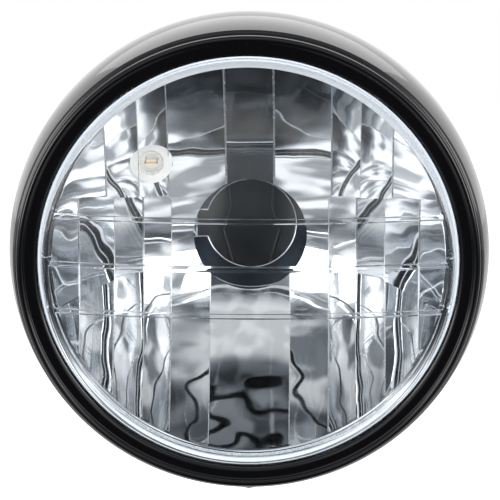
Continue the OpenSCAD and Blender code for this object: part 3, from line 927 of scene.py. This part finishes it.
def makeCamera():
    a, e = math.radians(view["azimuth"]), math.radians(view["elevation"])
    back = Vector((math.sin(a) * math.cos(e), -math.cos(a) * math.cos(e), math.sin(e)))
    right = Vector((math.cos(a), math.sin(a), 0))
    up = back.cross(right)
    aim = Vector((0, -lamp["openingZ"] * mm, 0)) + right * view["shiftRight"] + up * view["shiftUp"]
    data = bpy.data.cameras.new("photoCamera")
    data.sensor_width = view["sensorWidth"]
    data.lens = view["sensorWidth"] * view["distance"] / view["frameWidth"]
    camera = bpy.data.objects.new("photoCamera", data)
    camera.location = aim + back * view["distance"]
    camera.rotation_euler = back.to_track_quat("Z", "Y").to_euler()
    scene.collection.objects.link(camera)
    scene.camera = camera


makeCamera()

light = {
    "floorZ": -0.34,
    "floorFront": -0.05,
    "floorFar": 1.8,
    "floorInMetal": 0.3,
    # name, place in metres, size and radiance of each softbox
    "softboxes": [
        ("top softbox", (0, 0.75, 0.95), 1.5, 0.9),
        ("left softbox", (-0.85, -0.85, 0.12), 0.5, 3.6),
        ("right softbox", (0.85, -0.85, 0.16), 0.5, 3.6),
    ],
    "dim": 0.2,
    "dimTint": (0.78, 0.89, 1, 1),
    "tintEnd": 1.5,
    "clutter": 1.1,
    "clutterScale": 7.0,
    # soft windows of the studio: middle azimuth and elevation, their half widths, soft edge, strength
    "windows": [
        (-47, 4, 24, 15, 6, 0.7),
        (45, 6, 22, 15, 6, 0.7),
        (0, 0, 34, 9, 3, 0.75),
        (-54, 44, 14, 14, 4, 0.3),
        (54, 44, 14, 14, 4, 0.3),
        (-62, -48, 30, 24, 6, 0.6),
        (62, -48, 30, 24, 6, 0.6),
        (-74, 24, 18, 14, 8, 0.25),
        (74, 24, 18, 14, 8, 0.25),
    ],
    # the even panel above the camera
    "panel": (0, 41, 36, 14, 5, 0.62),
    # dark places, with how much light each takes away
    "darks": [
        (2, -43, 19, 36, 3, 0.88),
        (0, -30, 5, 34, 2, 0.75),
        (0, 59, 50, 5, 2, 0.55),
    ],
}


def mathNode(tree, operation, first, second=0.0, third=0.0):
    node = tree.nodes.new("ShaderNodeMath")
    node.operation = operation
    for socket, value in zip(node.inputs, (first, second, third)):
        if isinstance(value, (int, float)):
            socket.default_value = value
        else:
            tree.links.new(value, socket)
    return node.outputs[0]


def fade(tree, value, start, end, low=0.0, high=1.0):
    # goes softly from low to high while the value goes from start to end
    node = tree.nodes.new("ShaderNodeMapRange")
    node.interpolation_type = "SMOOTHSTEP"
    node.inputs["From Min"].default_value = start
    node.inputs["From Max"].default_value = end
    node.inputs["To Min"].default_value = low
    node.inputs["To Max"].default_value = high
    tree.links.new(value, node.inputs["Value"])
    return node.outputs["Result"]


def softMask(tree, azimuth, elevation, window):
    # 1 inside a window of directions, 0 outside, with a soft edge
    midA, midE, halfA, halfE, edge = (math.radians(v) for v in window)
    masks = []
    for value, middle, half in ((azimuth, midA, halfA), (elevation, midE, halfE)):
        off = mathNode(tree, "ABSOLUTE", mathNode(tree, "SUBTRACT", value, middle))
        masks.append(fade(tree, off, half + edge, half - edge))
    return mathNode(tree, "MULTIPLY", *masks)


def makeFloor():
    z, near, far = (light[k] / mm for k in ("floorZ", "floorFront", "floorFar"))
    corners = [(-far, z, -near), (far, z, -near), (far, z, -far), (-far, z, -far)]
    floor = newObject("floor", np.array(corners), [[0, 1, 2, 3]])
    material = bpy.data.materials.new("pale floor")
    material.use_nodes = True
    tree = material.node_tree
    path = tree.nodes.new("ShaderNodeLightPath").outputs
    shader = tree.nodes["Principled BSDF"]
    shader.inputs["Base Color"].default_value = (0.8, 0.8, 0.8, 1)
    shader.inputs["Emission Color"].default_value = (1, 1, 1, 1)
    seen = mathNode(tree, "ADD", path["Is Camera Ray"], path["Is Transmission Ray"])
    seen = mathNode(tree, "MULTIPLY_ADD", path["Is Glossy Ray"], light["floorInMetal"], seen)
    tree.links.new(mathNode(tree, "MINIMUM", seen, 1.0), shader.inputs["Emission Strength"])
    floor.data.materials.append(material)


def makeLamp(name, location, size, radiance):
    data = bpy.data.lights.new(name, "AREA")
    data.shape, data.size, data.energy = "SQUARE", size, radiance * math.pi * size * size
    lampObject = bpy.data.objects.new(name, data)
    lampObject.location = location
    lampObject.rotation_euler = (-Vector(location)).to_track_quat("-Z", "Y").to_euler()
    scene.collection.objects.link(lampObject)


def makeWorld():
    world = bpy.data.worlds.new("studio")
    scene.world = world
    world.use_nodes = True
    tree = world.node_tree
    back = tree.nodes["Background"]
    coord = tree.nodes.new("ShaderNodeTexCoord")
    split = tree.nodes.new("ShaderNodeSeparateXYZ")
    tree.links.new(coord.outputs["Generated"], split.inputs["Vector"])
    x, y, z = split.outputs
    ahead = mathNode(tree, "MULTIPLY", y, -1.0)
    azimuth = mathNode(tree, "ARCTAN2", x, ahead)
    elevation = mathNode(tree, "ARCSINE", z)
    level = mathNode(tree, "ADD", light["dim"], 0.0)
    for *window, strength in light["windows"]:
        mask = softMask(tree, azimuth, elevation, window)
        level = mathNode(tree, "MULTIPLY_ADD", mask, strength, level)
    # what stands about in a studio breaks up the light that the reflector sends back
    clutter = tree.nodes.new("ShaderNodeTexNoise")
    clutter.inputs["Scale"].default_value = light["clutterScale"]
    clutter.inputs["Detail"].default_value = 1
    tree.links.new(coord.outputs["Generated"], clutter.inputs["Vector"])
    change = fade(tree, clutter.outputs["Fac"], 0.4, 0.6, -light["clutter"] / 2, light["clutter"] / 2)
    path = tree.nodes.new("ShaderNodeLightPath").outputs
    change = mathNode(tree, "MULTIPLY_ADD", change, path["Is Transmission Ray"], 1.0)
    level = mathNode(tree, "MULTIPLY", level, change)
    *panel, strength = light["panel"]
    mask = softMask(tree, azimuth, elevation, panel)
    level = mathNode(tree, "MULTIPLY_ADD", mask, strength, level)
    for *window, depth in light["darks"]:
        mask = softMask(tree, azimuth, elevation, window)
        level = mathNode(tree, "MULTIPLY", level, mathNode(tree, "MULTIPLY_ADD", mask, -depth, 1.0))
    # behind the lamp the studio is white, also in metal and glass
    behind = fade(tree, y, -0.05, 0.25)
    inGlass = mathNode(tree, "ADD", path["Is Glossy Ray"], path["Is Transmission Ray"])
    white = mathNode(tree, "MULTIPLY_ADD", inGlass, behind, path["Is Camera Ray"])
    white = mathNode(tree, "MINIMUM", white, 1.0)
    rest = mathNode(tree, "MULTIPLY", level, mathNode(tree, "SUBTRACT", 1.0, white))
    tree.links.new(mathNode(tree, "ADD", rest, white), back.inputs["Strength"])
    # dim places are a little blue
    tint = tree.nodes.new("ShaderNodeMix")
    tint.data_type = "RGBA"
    tint.inputs["A"].default_value = light["dimTint"]
    tint.inputs["B"].default_value = (1, 1, 1, 1)
    bright = mathNode(tree, "MULTIPLY_ADD", level, light["tintEnd"], white)
    tree.links.new(mathNode(tree, "MINIMUM", bright, 1.0), tint.inputs["Factor"])
    tree.links.new(tint.outputs["Result"], back.inputs["Color"])


makeFloor()
makeWorld()
for softbox in light["softboxes"]:
    makeLamp(*softbox)
scene.cycles.max_bounces = 16
scene.cycles.glossy_bounces = 8
scene.cycles.transmission_bounces = 12
scene.view_settings.view_transform = "Standard"
print("camera, floor and light placed")
